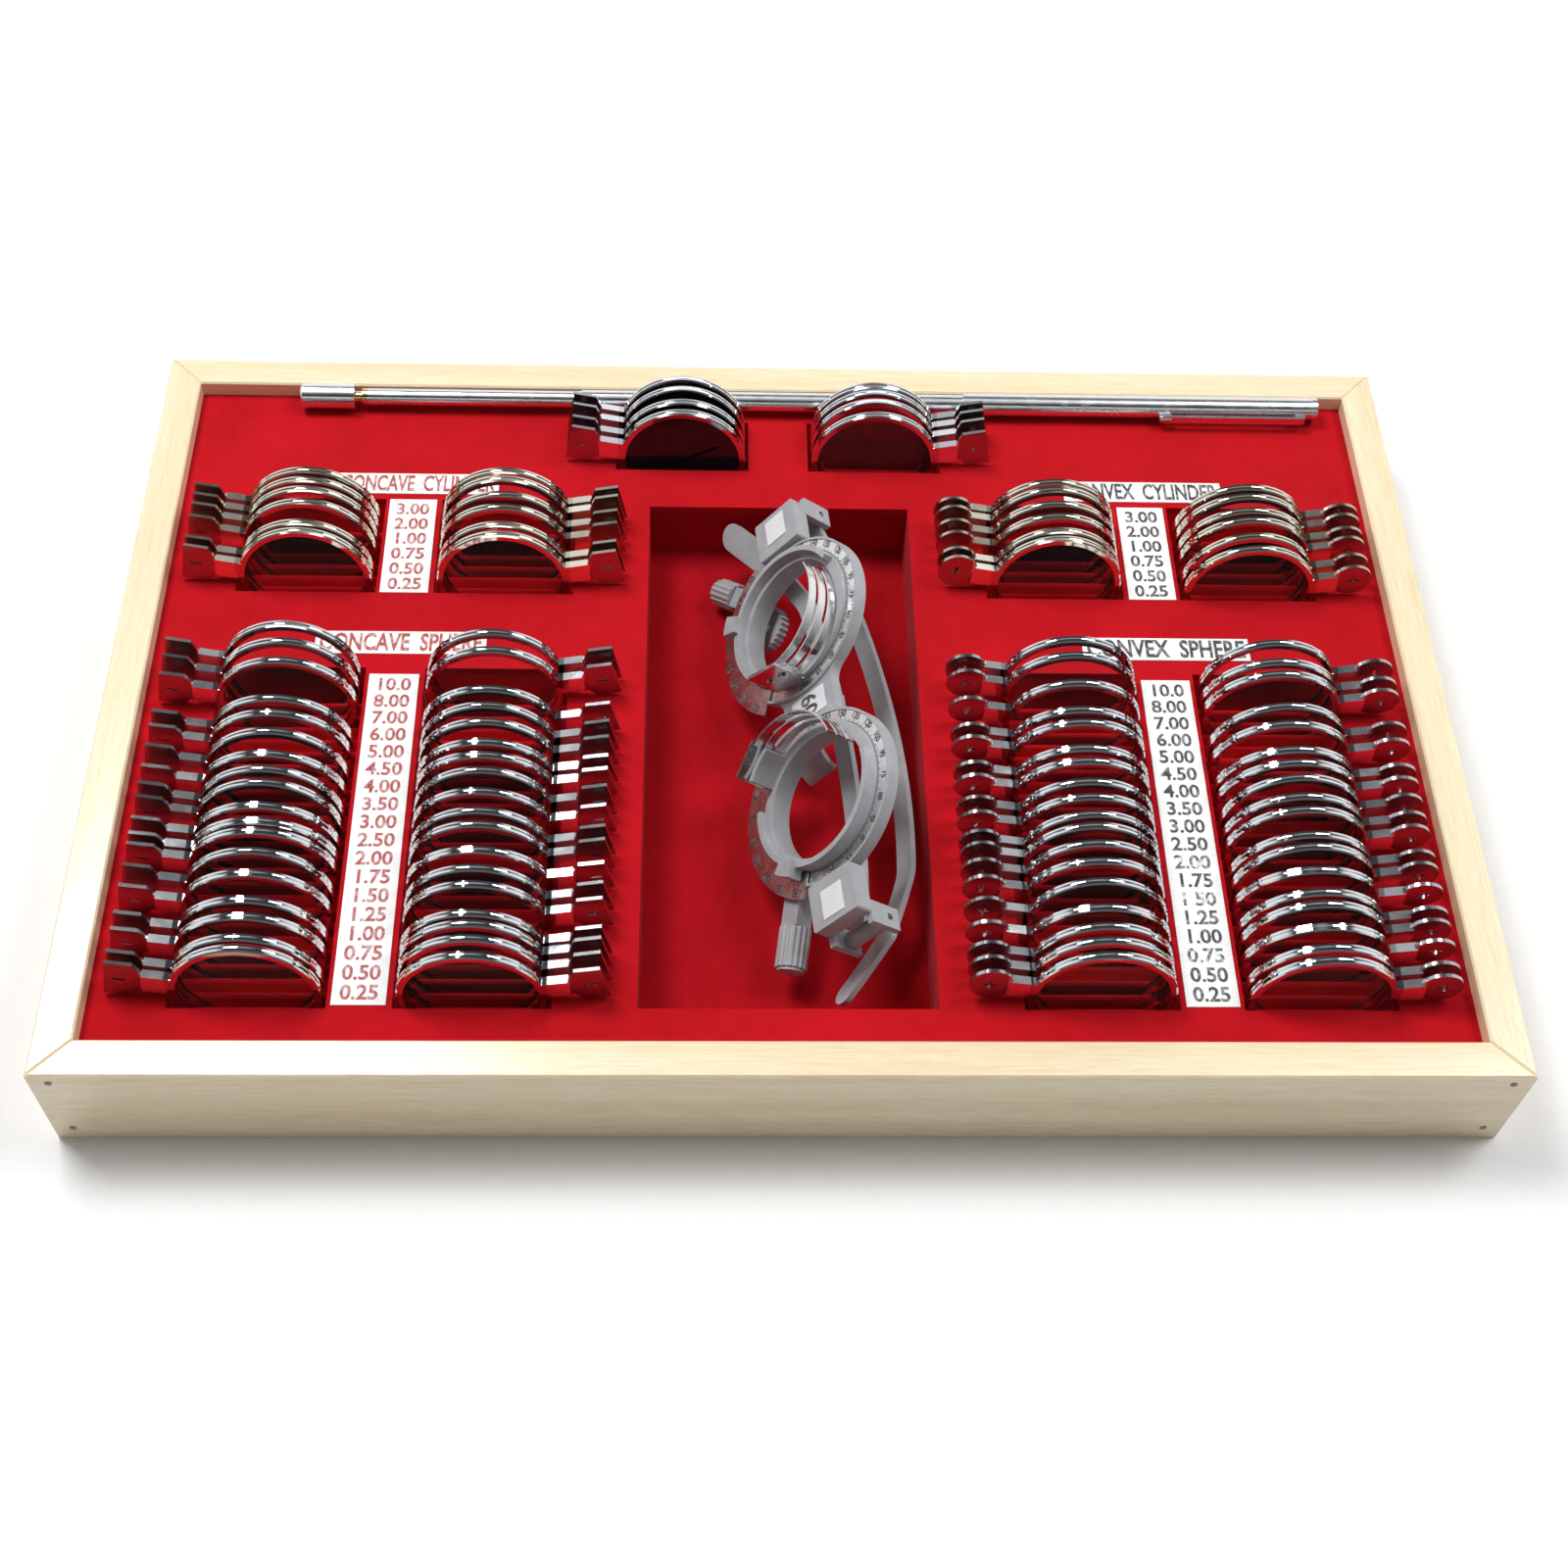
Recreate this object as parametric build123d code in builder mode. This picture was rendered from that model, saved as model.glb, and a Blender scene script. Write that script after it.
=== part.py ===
from build123d import *
import os
from math import sin, cos, tan, radians, pi

# Trial lens set: an open wooden tray with a velvet deck. Lenses in round metal rims stand in grooved
# pockets, a trial frame lies in a deep well, and a telescopic pointer lies along the back.
# The origin is on the tray's underside, at its centre. X runs along the tray, -Y is the front, Z is up.

# ---- driving dimensions, mm ----
TRAY_X = 372.0
TRAY_Y = 244.0
TRAY_Z = 35.0
RAIL_T = 10.0
BASE_T = 4.0
DECK_TOP = 30.0
DECK_T = 2.5
PIN_R = 0.9

LENS_R = 19.0
RIM_BORE = 17.6
RIM_LIP = 17.2
RIM_T = 2.4
HANDLE_RISE = 11.2
NECK_END = 25.5
NECK_H = 6.0
TAB_END = 34.5
TAB_H = 12.5
TAB_T = 1.0
ROUND_TAB_R = 5.75
ROUND_TAB_AT = 29.6
GLASS_R = 17.55

GROOVE_PITCH = 4.2
RACK_FLOOR = 12.0
RIDGE_TOP = 20.0
RIDGE_W = 0.8
RACK_WALL = 1.5
POCKET_X = 40.0
GROOVE_FROM_FRONT = 2.5
LEAN_PIVOT = 15.5

SPHERE_FRONT = -100.7
SPHERE_BACK = 7.0
CYLINDER_FRONT = 34.2
CYLINDER_BACK = 70.0
ACCESSORY_FRONT = 83.0
ACCESSORY_BACK = 103.0
OUTER_COLUMN = 136.5
INNER_COLUMN = 80.0
ACCESSORY_COLUMN = 29.0
CARD_X = 108.4

WELL_X = 76.8
WELL_FRONT = -100.5
WELL_BACK = 68.2
WELL_FLOOR = 9.6
WELL_WALL = 1.5

# The grooves that hold a lens, counted from the front of each pocket, and each lens's lean in degrees.
CONCAVE_SPHERE_OUTER = ((24, 23, 22, 19, 18, 16, 15, 13, 12, 11, 10, 9, 7, 6, 4, 3, 1, 0),
                        (7, 4, 0, 0, -1, 3, -2, 4, 4, -1, -2, 0, 4, 0, 1, 0, 4, 6))
CONCAVE_SPHERE_INNER = ((24, 23, 20, 18, 17, 16, 15, 13, 12, 10, 9, 8, 6, 5, 3, 2, 1, 0),
                        (3, 0, -1, 4, 2, -2, -2, 4, 0, 4, 4, -2, 3, 2, 2, 4, 4, 3))
CONVEX_SPHERE_INNER = ((24, 23, 21, 19, 18, 16, 15, 13, 12, 10, 9, 8, 7, 5, 4, 2, 1, 0),
                       (2, 0, -2, -3, -3, -3, -3, 0, -1, 4, 5, 3, 1, 5, -1, 4, 4, 4))
CONVEX_SPHERE_OUTER = ((24, 23, 22, 19, 18, 16, 15, 13, 12, 11, 9, 8, 7, 5, 4, 3, 1, 0),
                       (1, -3, -3, 0, -3, -3, -3, 3, 0, 0, 1, 2, -3, 0, 1, -3, 1, 2))
CYLINDER_GROOVES = (6, 5, 4, 3, 1, 0)
CONCAVE_CYLINDER_OUTER = (CYLINDER_GROOVES, (2, 3, 4, 3, 4, 6))
CONCAVE_CYLINDER_INNER = (CYLINDER_GROOVES, (3, 5, 2, 1, 4, 5))
CONVEX_CYLINDER_INNER = (CYLINDER_GROOVES, (0, 2, 0, -1, 4, 6))
CONVEX_CYLINDER_OUTER = (CYLINDER_GROOVES, (-2, -1, -3, -2, 2, 1))
ACCESSORY_GROOVES = (3, 2, 1, 0)
ACCESSORY_LEFT = (ACCESSORY_GROOVES, (6, 6, 4, 4))
ACCESSORY_RIGHT = (ACCESSORY_GROOVES, (3, 5, 6, 4))
SPHERE_GROOVE_COUNT = 25
CYLINDER_GROOVE_COUNT = 8
ACCESSORY_GROOVE_COUNT = 4

# The trial frame lies on its long axis, tilted in the well. Its own plane holds the pupil axis as X,
# the wearer's up as Y and the viewing direction as Z.
FRAME_TILT = 50.0
FRAME_TURN = 5.85
FRAME_CENTRE = (6.7, -12.2, 39.5)
EYE_X = 30.0
RING_R = 25.0
RING_BORE = 19.5
RING_T = 3.0
FIT_GAP = 0.08
SCALE_OUT = 24.2
SCALE_IN = 21.3
SCALE_T = 0.45
RING_LIP = 0.8
DIAL_OUT = 28.6
CELL_BORE = 17.75
CELL_FLANGE = 20.9
CELL_SEAT = 2.0
CELL_WALL_IN = 19.4
CELL_WALL_TOP = 4.8
CLIP_TOP = 13.0
LEAF_T = 0.45
LEAF_W = 2.3
LEAF_PITCH = 3.5
WAIST = 19.0
BLOCK_FROM = 25.2
BLOCK_TO = 39.0
BLOCK_H = 16.0
BLOCK_BACK = -2.6
BLOCK_FRONT = 2.6
LUG_BACK = -12.4
HINGE_AT = 68.5
HINGE_BACK = -9.0
HINGE_PIN_R = 0.9
BARREL_R = 2.4
TEMPLE_T = 1.8
TEMPLE_H = 5.4
TEMPLE_OFFSET = 3.3
KNOB_R = 4.2
KNOB_BACK = -3.0
KNOB_START = 26.4
SHAFT_R = 1.5
# For each side: where the knob's neck leaves the ring and where it points, in degrees below the pupil axis,
# then the lengths of neck and knob.
KNOBS = {"right": (43.0, 43.0, 8.6, 9.4), "left": (38.0, 21.0, 9.5, 11.0)}

# The pointer: three tubes in one another, with a brass neck, a knob and a pocket clip.
POINTER_Y = 107.9
POINTER_Z = 34.05
KNOB_END = -145.0
POINTER_KNOB_L = 16.3
POINTER_KNOB_R = 3.9
OUTER_TUBE = (57.0, 165.5, 3.4, 3.0)
MIDDLE_TUBE = (-60.0, 77.0, 2.94, 2.6)
INNER_TUBE = (-125.0, -40.0, 2.54, 2.0)

os.makedirs("parts", exist_ok=True)


def save(builder, name):
    """Label a finished piece and write it as its own STEP file."""
    builder.part.label = name
    export_step(builder.part, f"parts/{name}.step")


def groove_y(front, groove):
    return front + GROOVE_FROM_FRONT + groove * GROOVE_PITCH


def lens_plane(column_x, outward, front, groove, lean):
    """The plane of a standing lens: X along its handle, Z along its optical axis, towards the front."""
    turn = radians(lean)
    rise = radians(HANDLE_RISE)
    centre_z = RACK_FLOOR + 0.05 + LENS_R * cos(turn) + RIM_T / 2 * abs(sin(turn))
    centre_y = groove_y(front, groove) + (centre_z - LEAN_PIVOT) * tan(turn)
    handle = (outward * cos(rise), sin(rise) * sin(turn), sin(rise) * cos(turn))
    return Plane(origin=(column_x, centre_y, centre_z), x_dir=handle, z_dir=(0, -cos(turn), sin(turn)))


def column(column_x, outward, front, lenses):
    """The planes of one column of lenses, from back to front."""
    grooves, leans = lenses
    return [lens_plane(column_x, outward, front, g, a) for g, a in zip(grooves, leans)]


# ---- the tray ----
HALF_X = TRAY_X / 2
HALF_Y = TRAY_Y / 2


def mitred_rail(name, outline):
    with BuildPart() as rail:
        with BuildSketch():
            with BuildLine():
                Polyline(*outline, close=True)
            make_face()
        extrude(amount=TRAY_Z)
        chamfer(rail.faces().sort_by(Axis.Z)[-1].edges(), 0.5)
    save(rail, name)


mitred_rail("rail_front", [(-HALF_X, -HALF_Y), (HALF_X, -HALF_Y),
                           (HALF_X - RAIL_T, -HALF_Y + RAIL_T), (-HALF_X + RAIL_T, -HALF_Y + RAIL_T)])
mitred_rail("rail_back", [(-HALF_X, HALF_Y), (-HALF_X + RAIL_T, HALF_Y - RAIL_T),
                          (HALF_X - RAIL_T, HALF_Y - RAIL_T), (HALF_X, HALF_Y)])
mitred_rail("rail_left", [(-HALF_X, -HALF_Y), (-HALF_X + RAIL_T, -HALF_Y + RAIL_T),
                          (-HALF_X + RAIL_T, HALF_Y - RAIL_T), (-HALF_X, HALF_Y)])
mitred_rail("rail_right", [(HALF_X, -HALF_Y), (HALF_X, HALF_Y),
                           (HALF_X - RAIL_T, HALF_Y - RAIL_T), (HALF_X - RAIL_T, -HALF_Y + RAIL_T)])

INSIDE_X = TRAY_X - 2 * RAIL_T
INSIDE_Y = TRAY_Y - 2 * RAIL_T

with BuildPart() as base_board:
    with BuildSketch():
        Rectangle(INSIDE_X, INSIDE_Y)
    extrude(amount=BASE_T)
save(base_board, "base_board")

SPHERE_COLUMNS = [-OUTER_COLUMN, -INNER_COLUMN, INNER_COLUMN, OUTER_COLUMN]
POCKETS = ([(x, SPHERE_FRONT, SPHERE_BACK) for x in SPHERE_COLUMNS]
           + [(x, CYLINDER_FRONT, CYLINDER_BACK) for x in SPHERE_COLUMNS]
           + [(x, ACCESSORY_FRONT, ACCESSORY_BACK) for x in (-ACCESSORY_COLUMN, ACCESSORY_COLUMN)])

with BuildPart() as velvet_deck:
    with BuildSketch(Plane.XY.offset(DECK_TOP - DECK_T)):
        Rectangle(INSIDE_X, INSIDE_Y)
        with Locations((0, (WELL_FRONT + WELL_BACK) / 2)):
            Rectangle(WELL_X, WELL_BACK - WELL_FRONT, mode=Mode.SUBTRACT)
        for x, front, back in POCKETS:
            with Locations((x, (front + back) / 2)):
                Rectangle(POCKET_X, back - front, mode=Mode.SUBTRACT)
    extrude(amount=DECK_T)
save(velvet_deck, "velvet_deck")

with BuildPart() as well_liner:
    with BuildSketch(Plane.XY.offset(BASE_T)):
        with Locations((0, (WELL_FRONT + WELL_BACK) / 2)):
            Rectangle(WELL_X + 2 * WELL_WALL, WELL_BACK - WELL_FRONT + 2 * WELL_WALL)
    extrude(amount=DECK_TOP - DECK_T - BASE_T)
    with BuildSketch(Plane.XY.offset(WELL_FLOOR)):
        with Locations((0, (WELL_FRONT + WELL_BACK) / 2)):
            Rectangle(WELL_X, WELL_BACK - WELL_FRONT)
    extrude(amount=DECK_TOP, mode=Mode.SUBTRACT)
save(well_liner, "well_liner")


def add_box(low, high):
    """A block between two corners, in the current part."""
    with Locations(Vector(*low)):
        Box(high[0] - low[0], high[1] - low[1], high[2] - low[2], align=(Align.MIN, Align.MIN, Align.MIN))


def lens_racks(name, columns, front, back, groove_count):
    """Grooved inserts: a floor, two cheeks, two end walls and upright ridges between the lenses."""
    wall_top = DECK_TOP - DECK_T
    strips = []
    for x in columns:
        left = x - POCKET_X / 2
        right = x + POCKET_X / 2
        strips += [((left - RACK_WALL, front - RACK_WALL, BASE_T), (right + RACK_WALL, back + RACK_WALL, RACK_FLOOR)),
                   ((left - RACK_WALL, front - RACK_WALL, RACK_FLOOR), (left, back + RACK_WALL, wall_top)),
                   ((right, front - RACK_WALL, RACK_FLOOR), (right + RACK_WALL, back + RACK_WALL, wall_top)),
                   ((left, front - RACK_WALL, RACK_FLOOR), (right, front, wall_top)),
                   ((left, back, RACK_FLOOR), (right, back + RACK_WALL, wall_top))]
        for groove in range(groove_count - 1):
            ridge_y = groove_y(front, groove + 0.5)
            strips.append(((left, ridge_y - RIDGE_W / 2, RACK_FLOOR), (right, ridge_y + RIDGE_W / 2, RIDGE_TOP)))
    solids = []
    for low, high in strips:
        with BuildPart() as strip:
            add_box(low, high)
        solids.append(strip.part.solid())
    rack = Compound(label=name, children=solids)
    export_step(rack, f"parts/{name}.step")


lens_racks("sphere_racks", SPHERE_COLUMNS, SPHERE_FRONT, SPHERE_BACK, SPHERE_GROOVE_COUNT)
lens_racks("cylinder_racks", SPHERE_COLUMNS, CYLINDER_FRONT, CYLINDER_BACK, CYLINDER_GROOVE_COUNT)
lens_racks("accessory_racks", (-ACCESSORY_COLUMN, ACCESSORY_COLUMN), ACCESSORY_FRONT, ACCESSORY_BACK,
           ACCESSORY_GROOVE_COUNT)

# Printed cards glued on the deck: a narrow one between two columns and a wide one behind it.
CARD_T = 0.3
CARD_W = 13.8
HEADER_W = 48.0
HEADER_H = 7.9
with BuildPart() as power_cards:
    with BuildSketch(Plane.XY.offset(DECK_TOP)):
        for x in (-CARD_X, CARD_X):
            with Locations((x, -47.6)):
                Rectangle(CARD_W, 104.4)
            with Locations((x, 51.9)):
                Rectangle(CARD_W, 35.6)
    extrude(amount=CARD_T)
save(power_cards, "power_cards")

with BuildPart() as header_cards:
    with BuildSketch(Plane.XY.offset(DECK_TOP)):
        for x in (-107.6, 110.0):
            with Locations((x, 15.8), (x, 76.0)):
                Rectangle(HEADER_W, HEADER_H)
    extrude(amount=CARD_T)
save(header_cards, "header_cards")

# Two brads through each mitre, driven from the long rails' faces.
with BuildPart() as corner_pins:
    for side in (-1, 1):
        with BuildSketch(Plane.XZ.offset(side * HALF_Y)):
            with Locations((-HALF_X + 5, 6), (-HALF_X + 5, 31), (HALF_X - 5, 6), (HALF_X - 5, 31)):
                Circle(PIN_R)
        extrude(amount=side * 0.15)
save(corner_pins, "corner_pins")

# ---- lenses ----
RIM_PROFILE = [(RIM_LIP, -1.2), (18.6, -1.2), (LENS_R, -0.9), (LENS_R, -0.35), (18.65, -0.12), (18.65, 0.12),
               (LENS_R, 0.35), (LENS_R, 0.9), (18.6, 1.2), (RIM_LIP, 1.2), (RIM_LIP, 0.8), (RIM_BORE, 0.8),
               (RIM_BORE, -0.8), (RIM_LIP, -0.8)]


def rim(tab):
    """A grooved ring with a block neck and a thin flat tab of the given outline."""
    with BuildPart() as ring:
        with BuildSketch(Plane.XZ):
            with BuildLine():
                Polyline(*RIM_PROFILE, close=True)
            make_face()
        revolve(axis=Axis.Z)
        with BuildSketch(Plane.XY.offset(-RIM_T / 2)):
            with Locations(((NECK_END + 18.2) / 2, 0)):
                Rectangle(NECK_END - 18.2, NECK_H)
        extrude(amount=RIM_T)
        with BuildSketch(Plane.XY.offset(-TAB_T / 2)):
            add(tab)
        extrude(amount=TAB_T)
    return ring.part


SHOULDER = NECK_END + 2.2
SQUARE_TAB = [(NECK_END - 0.5, -NECK_H / 2), (NECK_END, -NECK_H / 2), (SHOULDER, -TAB_H / 2),
              (TAB_END, -TAB_H / 2), (TAB_END, TAB_H / 2), (SHOULDER, TAB_H / 2), (NECK_END, NECK_H / 2),
              (NECK_END - 0.5, NECK_H / 2)]

with BuildSketch() as minus_tab:
    with BuildLine():
        Polyline(*SQUARE_TAB, close=True)
    make_face()
    with Locations((ROUND_TAB_AT + 1.2, 0)):
        Rectangle(3.2, 0.8, mode=Mode.SUBTRACT)

with BuildSketch() as plus_tab:
    with Locations((ROUND_TAB_AT, 0)):
        Circle(ROUND_TAB_R)
    with Locations((ROUND_TAB_AT + 0.6, 0)):
        Rectangle(3.2, 0.8, mode=Mode.SUBTRACT)
        Rectangle(0.8, 3.2, mode=Mode.SUBTRACT)

with BuildSketch() as plain_tab:
    with BuildLine():
        Polyline(*SQUARE_TAB, close=True)
    make_face()
    with Locations((ROUND_TAB_AT + 1.2, 0)):
        Circle(0.7, mode=Mode.SUBTRACT)


def glass(edge, middle):
    """A round lens blank with the given edge and centre thickness, each face one spherical cap."""
    sag = (middle - edge) / 2
    cap_r = (GLASS_R ** 2 + sag ** 2) / (2 * abs(sag))
    drop = cap_r - (cap_r ** 2 - (GLASS_R / 2) ** 2) ** 0.5
    half = middle / 2 - drop * (1 if sag > 0 else -1)
    with BuildPart() as blank:
        with BuildSketch(Plane.XZ):
            with BuildLine():
                Line((0, -middle / 2), (0, middle / 2))
                ThreePointArc((0, middle / 2), (GLASS_R / 2, half), (GLASS_R, edge / 2))
                Line((GLASS_R, edge / 2), (GLASS_R, -edge / 2))
                ThreePointArc((GLASS_R, -edge / 2), (GLASS_R / 2, -half), (0, -middle / 2))
            make_face()
        revolve(axis=Axis.Z)
    return blank.part


def flat_disc():
    with BuildPart() as disc:
        with BuildSketch(Plane.XY.offset(-0.5)):
            Circle(GLASS_R)
        extrude(amount=1.0)
    return disc.part


def slit_disc():
    with BuildPart() as disc:
        with BuildSketch(Plane.XY.offset(-0.5)):
            Circle(GLASS_R)
            Rectangle(24.0, 0.8, rotation=38, mode=Mode.SUBTRACT)
        extrude(amount=1.0)
    return disc.part


minus_rim = rim(minus_tab.sketch)
plus_rim = rim(plus_tab.sketch)
plain_rim = rim(plain_tab.sketch)
concave_glass = glass(1.5, 0.9)
convex_glass = glass(0.9, 1.5)
plain_disc = flat_disc()
split_disc = slit_disc()


def lens_group(name, piece, planes):
    """Copies of one piece, standing in their grooves, in one node."""
    with BuildPart() as group:
        with Locations(*[Location(plane) for plane in planes]):
            add(piece)
    save(group, name)


concave_sphere = (column(-OUTER_COLUMN, -1, SPHERE_FRONT, CONCAVE_SPHERE_OUTER)
                  + column(-INNER_COLUMN, 1, SPHERE_FRONT, CONCAVE_SPHERE_INNER))
convex_sphere = (column(INNER_COLUMN, -1, SPHERE_FRONT, CONVEX_SPHERE_INNER)
                 + column(OUTER_COLUMN, 1, SPHERE_FRONT, CONVEX_SPHERE_OUTER))
concave_cylinder = (column(-OUTER_COLUMN, -1, CYLINDER_FRONT, CONCAVE_CYLINDER_OUTER)
                    + column(-INNER_COLUMN, 1, CYLINDER_FRONT, CONCAVE_CYLINDER_INNER))
convex_cylinder = (column(INNER_COLUMN, -1, CYLINDER_FRONT, CONVEX_CYLINDER_INNER)
                   + column(OUTER_COLUMN, 1, CYLINDER_FRONT, CONVEX_CYLINDER_OUTER))
accessory_left = column(-ACCESSORY_COLUMN, -1, ACCESSORY_FRONT, ACCESSORY_LEFT)
accessory_right = column(ACCESSORY_COLUMN, 1, ACCESSORY_FRONT, ACCESSORY_RIGHT)

# The front lens of each kind's last column lifts out, as a body of its own; the others are one group each.
for kind, planes, metal, blank in (("concave_sphere", concave_sphere, minus_rim, concave_glass),
                                   ("convex_sphere", convex_sphere, plus_rim, convex_glass),
                                   ("concave_cylinder", concave_cylinder, minus_rim, concave_glass),
                                   ("convex_cylinder", convex_cylinder, plus_rim, convex_glass)):
    lens_group(f"{kind}_rims", metal, planes[:-1])
    lens_group(f"{kind}_glasses", blank, planes[:-1])
    lens_group(f"{kind}_loose_rim", metal, planes[-1:])
    lens_group(f"{kind}_loose_glass", blank, planes[-1:])

lens_group("accessory_rims", plain_rim, accessory_left[:-1] + accessory_right)
lens_group("slit_loose_rim", plain_rim, accessory_left[-1:])
lens_group("slit_loose_disc", split_disc, accessory_left[-1:])
lens_group("red_filters", plain_disc, [accessory_left[0], accessory_right[1]])
lens_group("dark_discs", plain_disc, accessory_left[1:3])
lens_group("accessory_glasses", concave_glass, [accessory_right[0]] + accessory_right[2:])

def arc_band(outer, inner, start, sweep):
    """A flat stretch of ring between two radii, made about the origin."""
    with BuildSketch() as band:
        with BuildLine():
            rim_arc = CenterArc((0, 0), outer, start, sweep)
            bore_arc = CenterArc((0, 0), inner, start, sweep)
            Line(rim_arc @ 0, bore_arc @ 0)
            Line(rim_arc @ 1, bore_arc @ 1)
        make_face()
    return band.sketch


# ---- the trial frame ----
turn = radians(FRAME_TURN)
tilt = radians(FRAME_TILT)
PUPIL_AXIS = (sin(turn), -cos(turn), 0)
VIEW_AXIS = (-sin(tilt) * cos(turn), -sin(tilt) * sin(turn), cos(tilt))
FRAME = Plane(origin=FRAME_CENTRE, x_dir=PUPIL_AXIS, z_dir=VIEW_AXIS)
SIDES = (("right", -1), ("left", 1))
EYES = [(-EYE_X, 0), (EYE_X, 0)]

with BuildPart() as frame_front:
    with BuildSketch(FRAME.offset(-RING_T)) as front:
        Rectangle(2 * (EYE_X + BLOCK_FROM), 10)
        with Locations(*EYES):
            Circle(RING_R)
        Rectangle(22, WAIST)
        waist = [corner for corner in front.vertices() if abs(abs(corner.Y) - WAIST / 2) < 0.01]
        fillet(waist, 5.5)
        with Locations(*EYES):
            Circle(RING_BORE, mode=Mode.SUBTRACT)
    extrude(amount=RING_T)
    with BuildSketch(FRAME):
        with Locations(*EYES):
            Circle(RING_R)
            Circle(SCALE_OUT + 0.1, mode=Mode.SUBTRACT)
    extrude(amount=RING_LIP)
save(frame_front, "frame_front")

with BuildPart() as scale_rings:
    with BuildSketch(FRAME):
        with Locations(*EYES):
            Circle(SCALE_OUT)
            Circle(SCALE_IN, mode=Mode.SUBTRACT)
    extrude(amount=SCALE_T)
    with BuildSketch(FRAME.offset(RING_LIP)):
        for eye_x, first, sweep in ((-EYE_X, 203, 122), (EYE_X, 215, 122)):
            with Locations((eye_x, 0)):
                add(arc_band(DIAL_OUT, SCALE_IN, first, sweep))
    extrude(amount=SCALE_T)
save(scale_rings, "scale_rings")

# Each turning cell holds a lens between a raised wall and three leaf springs on a riveted base. The two
# cells are mirror images, so angles round a cell are counted from its clip, and turn the other way on the left.
CLIP_ANGLE = {"right": -10.0, "left": 222.0}
WALL_AFTER_CLIP = 125.0
WALL_SWEEP = 200.0
STOP_AFTER_CLIP = 249.0
STOP_SWEEP = 14.0
LEAF_PATH = ((12.0, 21.4), (62.0, 20.3), (110.0, 17.7))
RIVET_UP = 5.2
CLIP_R = CELL_FLANGE + 1.05


def mirrored_band(hand, outer, inner, start, sweep):
    """An arc band counted from the clip, on the side that hand says."""
    return arc_band(outer, inner, start if hand > 0 else -start - sweep, sweep)


clip_seat = arc_band(CELL_FLANGE, CELL_WALL_IN, -14, 28)
for side, sign in SIDES:
    cell_wall = mirrored_band(-sign, CELL_FLANGE, CELL_WALL_IN, WALL_AFTER_CLIP, WALL_SWEEP)
    cell_stop = mirrored_band(-sign, CELL_FLANGE + 3.0, CELL_WALL_IN, STOP_AFTER_CLIP, STOP_SWEEP)
    leaf_points = [(radius * cos(radians(angle)), -sign * radius * sin(radians(angle)))
                   for angle, radius in LEAF_PATH]
    clip_turn = radians(CLIP_ANGLE[side])
    eye = Plane(origin=FRAME.origin + FRAME.x_dir * (sign * EYE_X),
                x_dir=FRAME.x_dir * cos(clip_turn) + FRAME.y_dir * sin(clip_turn), z_dir=FRAME.z_dir)
    with BuildPart() as cell:
        with BuildSketch(eye.offset(-RING_T - 1.0)):
            Circle(RING_BORE - FIT_GAP)
            Circle(CELL_BORE, mode=Mode.SUBTRACT)
        extrude(amount=RING_T + 1.0 + 0.1)
        with BuildSketch(eye.offset(-RING_T - 1.0)):
            Circle(RING_BORE + 0.8)
            Circle(CELL_BORE, mode=Mode.SUBTRACT)
        extrude(amount=0.9)
        with BuildSketch(eye.offset(0.1)):
            Circle(CELL_FLANGE)
            Circle(CELL_BORE, mode=Mode.SUBTRACT)
        extrude(amount=CELL_SEAT - 0.1)
        with BuildSketch(eye.offset(CELL_SEAT)):
            add(cell_wall)
        extrude(amount=CELL_WALL_TOP - CELL_SEAT)
        with BuildSketch(eye.offset(CELL_SEAT)):
            add(cell_stop)
        extrude(amount=CELL_WALL_TOP - CELL_SEAT + 1.6)
        with BuildSketch(eye.offset(CELL_SEAT)):
            add(clip_seat)
        extrude(amount=CLIP_TOP - CELL_SEAT - 3.5)
    save(cell, f"{side}_cell")

    plate = Plane(origin=eye.from_local_coords(Vector(CELL_FLANGE + 0.05, 0, CELL_SEAT)),
                  x_dir=eye.y_dir, z_dir=eye.x_dir)
    with BuildPart() as clip:
        with BuildSketch(plate):
            with Locations((0, (CLIP_TOP - CELL_SEAT) / 2 + 0.1)):
                Rectangle(11.0, CLIP_TOP - CELL_SEAT)
            with Locations((-2.6, RIVET_UP), (2.6, RIVET_UP)):
                Circle(0.9, mode=Mode.SUBTRACT)
        extrude(amount=1.0)
        for leaf in range(3):
            with BuildSketch(eye.offset(CELL_SEAT + 1.4 + leaf * LEAF_PITCH)):
                with BuildLine():
                    ThreePointArc(*leaf_points)
                trace(line_width=LEAF_T)
            extrude(amount=LEAF_W)
    save(clip, f"{side}_clip")

    with BuildPart() as rivets:
        with BuildSketch(plate.offset(-0.9)):
            with Locations((-2.6, RIVET_UP), (2.6, RIVET_UP)):
                Circle(0.9)
        extrude(amount=1.9)
        with BuildSketch(plate.offset(1.0)):
            with Locations((-2.6, RIVET_UP), (2.6, RIVET_UP)):
                Circle(1.4)
        extrude(amount=0.6)
    save(rivets, f"{side}_clip_rivets")

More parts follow.
